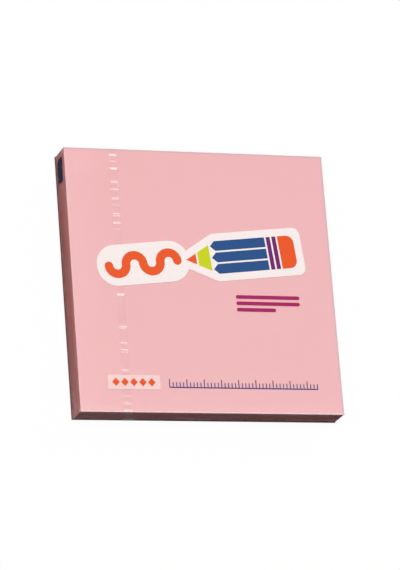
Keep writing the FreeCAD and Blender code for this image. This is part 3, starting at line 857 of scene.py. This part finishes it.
def long_side(x, z, near, seed):
    """Rise, haze and shine of a long side, near side or far side."""
    drawn = NEAR_STREAKS if near else FAR_STREAKS
    across = (z - HEIGHT / 2) / (HEIGHT / 2)
    bow = BOW_DEPTH * (1 - across ** 2)
    gather = np.exp(-(film_half.x - np.abs(x)) / GATHER_REACH) * np.where(x < 0, 1.0, RIGHT_GATHER)
    streak = noise_at(x / STREAK_LENGTH, z / STREAK_HEIGHT, seed)
    pinch = ridges_at(x / PINCH_LENGTH, z / PINCH_HEIGHT, seed + 5)
    rise = -bow - STREAK_DEPTH * (1 + streak) - GATHER_DEPTH * gather * (1 - pinch)
    haze = 0.006 + drawn * 0.012 * smooth_step(streak, 0.1, 0.4) + 0.08 * gather * pinch ** 5
    shine = 0.001 + drawn * 0.003 * smooth_step(streak, 0.1, 0.45) + 0.02 * gather * pinch ** 4
    if near:
        band = smooth_step(z, LAP_LOW - LAP_SLOPE, LAP_LOW + LAP_SLOPE)
        band = band * smooth_step(LAP_HIGH - z, -LAP_SLOPE, LAP_SLOPE)
        rise = rise + FILM * band
        edges = near_line(z - LAP_LOW, LAP_EDGE_WIDTH) + near_line(z - LAP_HIGH, LAP_EDGE_WIDTH)
        sealed = near_line(z - LAP_SEAL, SEAL_WIDTH) * (0.8 + 0.4 * streak)
        haze = haze + 0.04 * sealed
        shine = shine + 0.013 * edges + 0.009 * sealed
        lean = tape_centre(film_low.y) + TONGUE_LEAN * (1 - z / HEIGHT)
        on_tongue = near_line(x - lean, TAPE_WIDTH / 2)
        shine = shine + 0.003 * on_tongue
        haze = haze + 0.06 * on_tongue + 0.25 * on_tongue * (z < LAP_LOW)
    return rise, haze, shine


# %% [markdown]
# ### The face and the back
#
# The face is drawn flat. It sinks by a hair between the bends, rises over the puckers of the tape, and
# has one round spot near a corner where the film was pressed and is a touch milkier. It turns milkier
# towards the near side and the left end as well. A painted highlight, a pale milky line, runs along the
# near and left edges. The back lies on the table and stays flat.

# %% Describe the face
SPOT_X, SPOT_Y, SPOT_RADIUS, SPOT_BLUR = -32.2 * MM, 33.5 * MM, 3.75 * MM, 0.15 * MM
FACE_SHINE = 0.006
SINK_DEPTH, SINK_START, SINK_STOP = 0.008 * MM, 0.5 * MM, 4.0 * MM
NEAR_LINE_PLACE, NEAR_LINE_WIDTH, NEAR_ZONE = 0.14 * MM, 0.26 * MM, 3.0 * MM
LEFT_LINE_PLACE, LEFT_LINE_WIDTH, LEFT_ZONE = 0.34 * MM, 0.24 * MM, 8.0 * MM


def face_field(x, y):
    """Rise, haze and shine of the face."""
    rise, milky = pucker_field(x, y)
    rim = np.minimum(film_half.x - np.abs(x), film_half.y - np.abs(y))
    sink = SINK_DEPTH * smooth_step(rim, SINK_START, SINK_STOP)
    on_tape = np.clip(1.3 - np.abs(x - tape_centre(y)) / (TAPE_WIDTH / 2), 0, 1)
    rise = rise - sink * (1 - np.minimum(on_tape * 3, 1))
    spot = smooth_step(SPOT_RADIUS - np.hypot(x - SPOT_X, y - SPOT_Y), -SPOT_BLUR, SPOT_BLUR)
    # Painted highlights: pale milky lines along the near and left edges of the face.
    near_edge_highlight = near_line(y + film_half.y - NEAR_LINE_PLACE, NEAR_LINE_WIDTH)
    near_zone = near_line(y + film_half.y, NEAR_ZONE)
    left_edge_highlight = near_line(x + film_half.x - LEFT_LINE_PLACE, LEFT_LINE_WIDTH)
    left_zone = near_line(x + film_half.x, LEFT_ZONE)
    to_near = 0.5 - 0.5 * y / film_half.y
    haze = 0.006 + 0.060 * to_near + 0.05 * milky + 0.022 * spot + 0.27 * near_edge_highlight + 0.045 * near_zone
    haze = haze + 0.07 * left_edge_highlight + 0.035 * left_zone
    return rise, haze, np.full_like(x, FACE_SHINE)


# %% [markdown]
# Each flat side of the skin asks its own field. On the round bends between two sides the fields fade
# out, and the bends' own haze and shine take over: little near the table, most on the near edge of the
# face, where the strong haze is a painted highlight. Light passes two walls of the finished film, so
# each wall gets half of the haze.

# %% Move the points of the skin
FOOT_ZONE = 1.0 * MM
BEND_HAZE, BEND_SHINE, NEAR_RIM_PAINTED_HIGHLIGHT = 0.03, 0.012, 0.80
FOOT_HAZE, FOOT_SHINE = 0.01, 0.002
LEFT_PRESS, RIGHT_PRESS = 1.0, 3.0
END_SEED, SIDE_SEED = 11.3, 21.7

place = skin + np.array(film_middle)
rise = np.zeros(len(place))
haze = np.where(place[:, 2] > FOOT_ZONE, BEND_HAZE, FOOT_HAZE)
# Painted highlight: the bend along the near edge of the face is made strongly milky.
haze[(outward[:, 1] < -0.2) & (outward[:, 2] > 0.2)] = NEAR_RIM_PAINTED_HIGHLIGHT
shine = np.where(place[:, 2] > FOOT_ZONE, BEND_SHINE, FOOT_SHINE)
steepness = np.abs(outward) ** 6
for axis, sign in ((0, -1), (0, 1), (1, -1), (1, 1), (2, 1)):
    chosen = (outward[:, axis] * sign) > 0.5
    x, y, z = place[chosen].T
    if axis == 0:
        moved_by, cloud, gloss = end_folds(y, z, END_SEED + sign, LEFT_PRESS if sign < 0 else RIGHT_PRESS)
    elif axis == 1:
        moved_by, cloud, gloss = long_side(x, z, sign < 0, SIDE_SEED + sign)
    else:
        moved_by, cloud, gloss = face_field(x, y)
    weight = steepness[chosen, axis]
    rise[chosen] += moved_by * weight
    haze[chosen] = haze[chosen] * (1 - weight) + cloud * weight
    shine[chosen] = shine[chosen] * (1 - weight) + gloss * weight
place = place + outward * rise[:, None]
lowest, highest = np.array(film_low), np.array(film_high)
highest[2] = cad_high.z
place = np.clip(place, lowest, highest)
haze = 1 - np.sqrt(1 - np.clip(haze, 0, MOST_HAZE))
print("The film moves by", round(rise.min() / MM, 3), "to", round(rise.max() / MM, 3), "mm")

# %% [markdown]
# The skin gets its real thickness from a Solidify modifier, which is applied at once so that the piece
# is a plain closed mesh. The flat back is one face on each side, which saves thousands of faces that
# nobody sees.

# %% Give the film its thickness
film_piece = mesh_piece("clear_wrap", place, skin_faces, clear_film, haze=haze, shine=shine)
work = bmesh.new()
work.from_mesh(film_piece.data)
flat_back = [vertex for vertex in work.verts
             if vertex.co.z < 0.5e-6 and all(abs(face.normal.z) > 0.999 for face in vertex.link_faces)]
bmesh.ops.dissolve_verts(work, verts=flat_back)
work.to_mesh(film_piece.data)
work.free()
thicken = film_piece.modifiers.new("thickness", "SOLIDIFY")
thicken.thickness = FILM
thicken.offset = -1
graph = bpy.context.evaluated_depsgraph_get()
thick_mesh = bpy.data.meshes.new_from_object(film_piece.evaluated_get(graph), depsgraph=graph)
film_piece.modifiers.clear()
film_piece.data = thick_mesh
thick_mesh.name = "clear_wrap"
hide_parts("film_wrap")
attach(film_piece, "root")
film_piece.visible_shadow = False
print("The film has", sum(len(face.vertices) - 2 for face in thick_mesh.polygons), "triangles")

# %% [markdown]
# ## Ink
#
# The film is printed with opaque inks from a soft roller. Each colour is a thin even layer with a
# faint grain where the roller let go, and it is a little glossier than paper. The CAD shapes are right
# as they are, so they keep their meshes and get the ink as a material.

# %% Mix the inks
def printed_ink(name, shade, grain=0.06, roughness=0.42, gloss=0.12):
    """An even layer of ink with a faint roller grain."""
    made, pot = new_material(name)
    coarse = stretched_noise(pot, 1400.0, (1, 0.5, 1), detail=4.0)
    fine = stretched_noise(pot, 5200.0)
    thin = tuple(min(1.0, value * (1 + grain) + 0.012) for value in shade[:3]) + (1,)
    thick = tuple(value * (1 - grain) for value in shade[:3]) + (1,)
    finish_surface(pot, pot.node("ShaderNodeBsdfPrincipled", inputs={
        "Base Color": blend_colours(pot, 0.5 * coarse + 0.5 * fine, thick, thin),
        "Roughness": roughness + 0.15 * fine,
        "Specular IOR Level": gloss,
        "Normal": bumped(pot, coarse + fine, 0.004 * MM),
    }))
    return made


INKS = {
    "ink_white": swatch(250, 241, 239),
    "ink_blue": swatch(26, 76, 134),
    "ink_orange": swatch(233, 86, 26),
    "ink_lime": swatch(200, 214, 6),
    "ink_purple": swatch(108, 22, 108),
    "ink_magenta": swatch(165, 22, 94),
    "ink_violet": swatch(72, 62, 124),
    "ink_navy": swatch(40, 52, 98),
    "ink_pale": swatch(248, 216, 212),
}
INK_GLOSS = {"ink_navy": 0.01}
inks = {name: printed_ink(name, shade, gloss=INK_GLOSS.get(name, 0.12)) for name, shade in INKS.items()}
print(len(inks), "inks mixed")

# %% Print the film
PRINTED = {
    "motif_ground": "ink_white", "motif_wave": "ink_orange", "motif_lead": "ink_orange",
    "motif_eraser": "ink_orange", "label_marks": "ink_orange", "motif_cone": "ink_lime",
    "motif_shaft": "ink_blue", "motif_ferrule": "ink_purple", "note_bars": "ink_magenta",
    "label_ground": "ink_pale", "printed_scale": "ink_violet", "eye_mark": "ink_navy",
}
for node, ink in PRINTED.items():
    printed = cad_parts[node].data
    printed.materials.clear()
    printed.materials.append(inks[ink])
print(len(PRINTED), "printed shapes in", len(set(PRINTED.values())), "inks")
